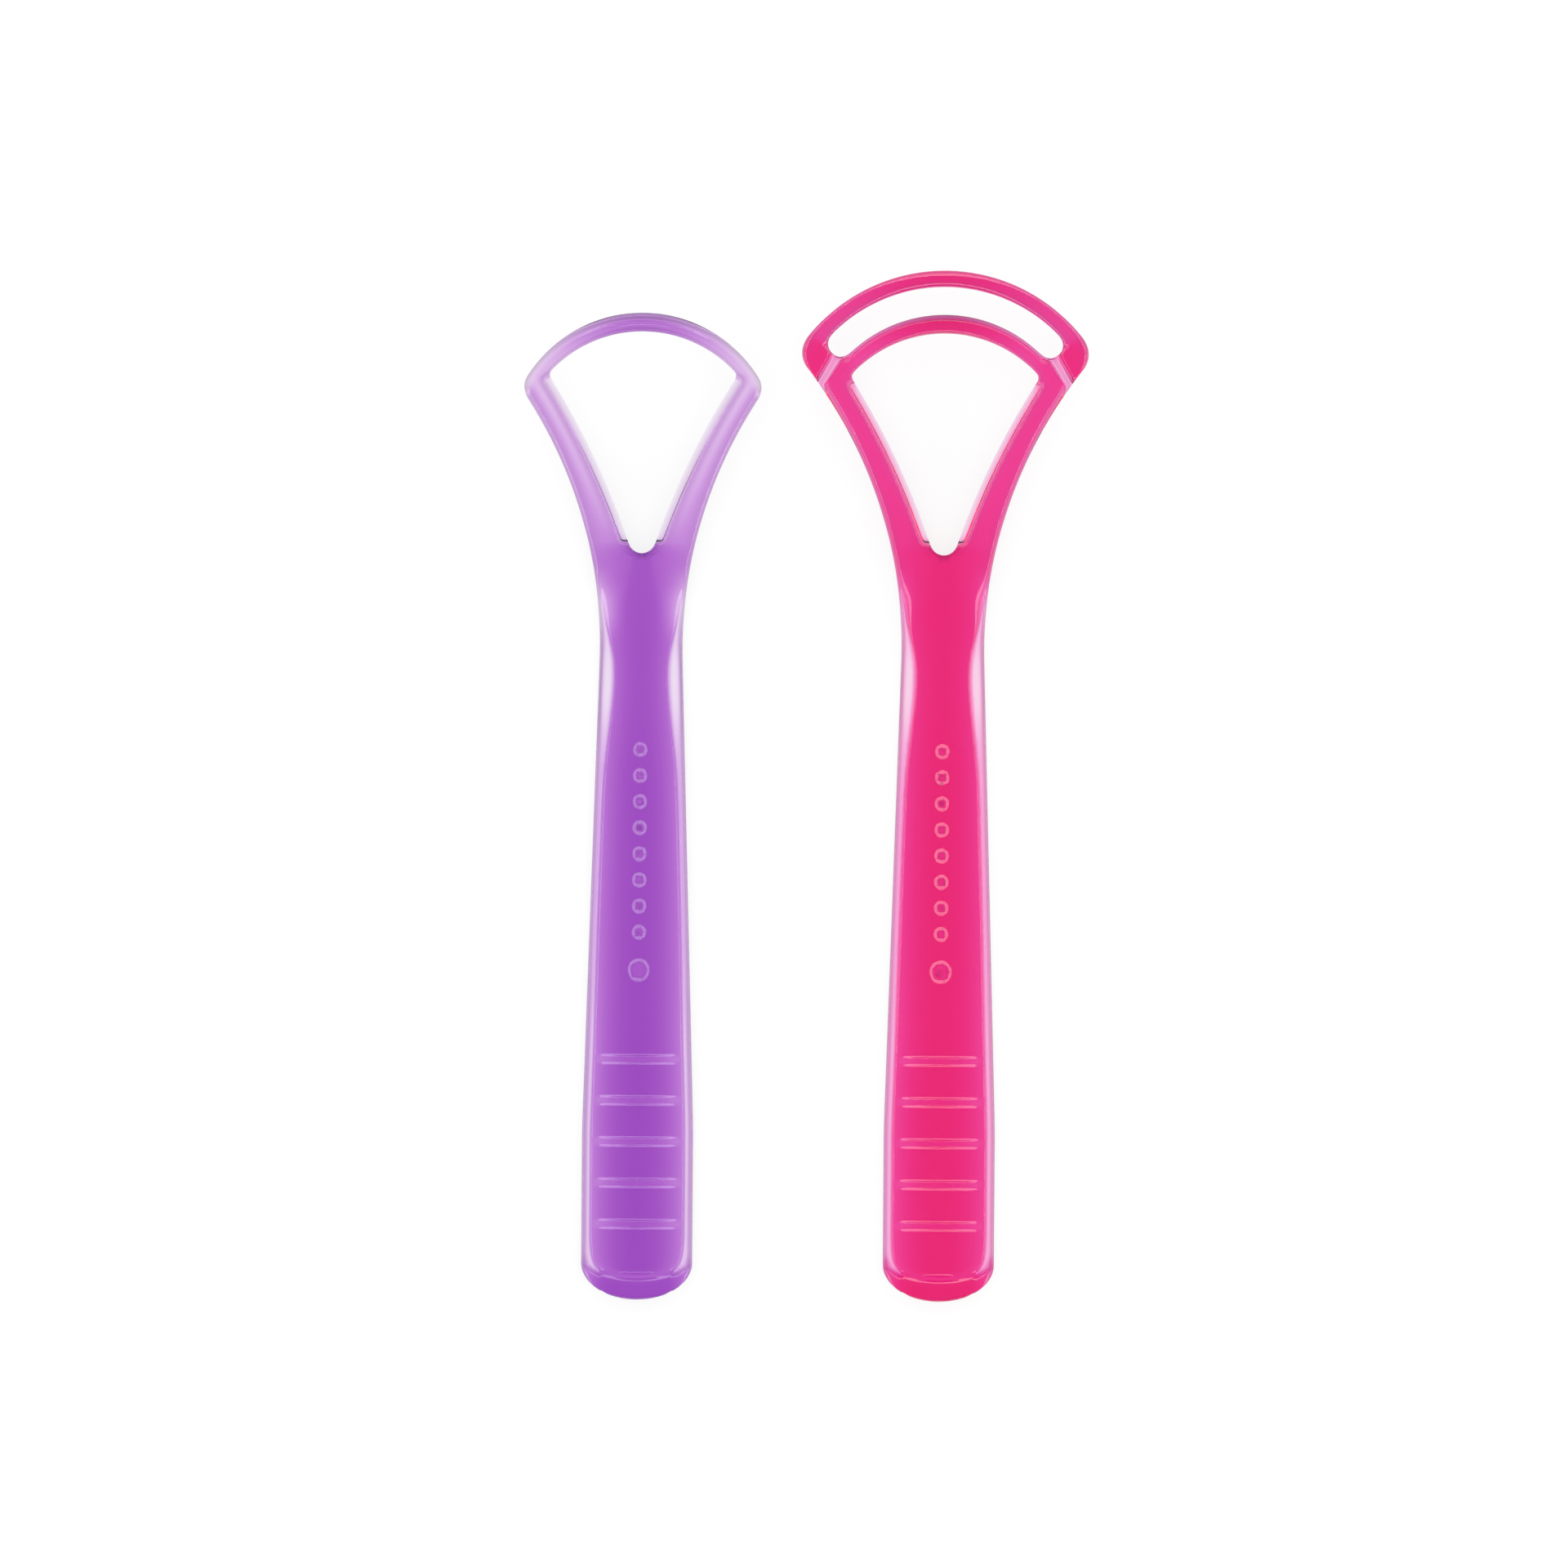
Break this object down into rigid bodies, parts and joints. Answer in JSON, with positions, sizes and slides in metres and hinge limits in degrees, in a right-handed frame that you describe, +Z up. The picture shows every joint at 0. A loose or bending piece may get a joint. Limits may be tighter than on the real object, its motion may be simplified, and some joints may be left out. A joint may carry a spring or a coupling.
{
  "type": "tongue scraper",
  "caption": "Moulded translucent plastic tongue scrapers: flat flanged handle with grip grooves, forked neck and curved scraping blades at the head.",
  "frame": {"origin": "on the surface that the scrapers lie on, at the centre of the whole pair's box in plan", "axes": "+Y from the handle ends to the blades, +X to the right with the blades away from the viewer, +Z up out of the handles' grooved faces"},
  "size_m": [0.0822, 0.15, 0.0098],
  "materials": {
    "purple_plastic": "clear tinted gloss moulding, translucent",
    "pink_plastic": "clear tinted gloss moulding, translucent"
  },
  "bodies": {
    "single_blade_scraper": {"single_handle": "purple_plastic", "single_yoke": "purple_plastic", "single_blade": "purple_plastic"},
    "double_blade_scraper": {"double_handle": "pink_plastic", "double_yoke": "pink_plastic", "double_inner_blade": "pink_plastic", "double_shoulders": "pink_plastic", "double_outer_blade": "pink_plastic"}
  },
  "joints": [
    {"name": "double_lift_off", "type": "slide", "parent": "single_blade_scraper", "child": "double_blade_scraper", "axis": [0, 0, 1], "range_m": [0, 0.05]}
  ]
}
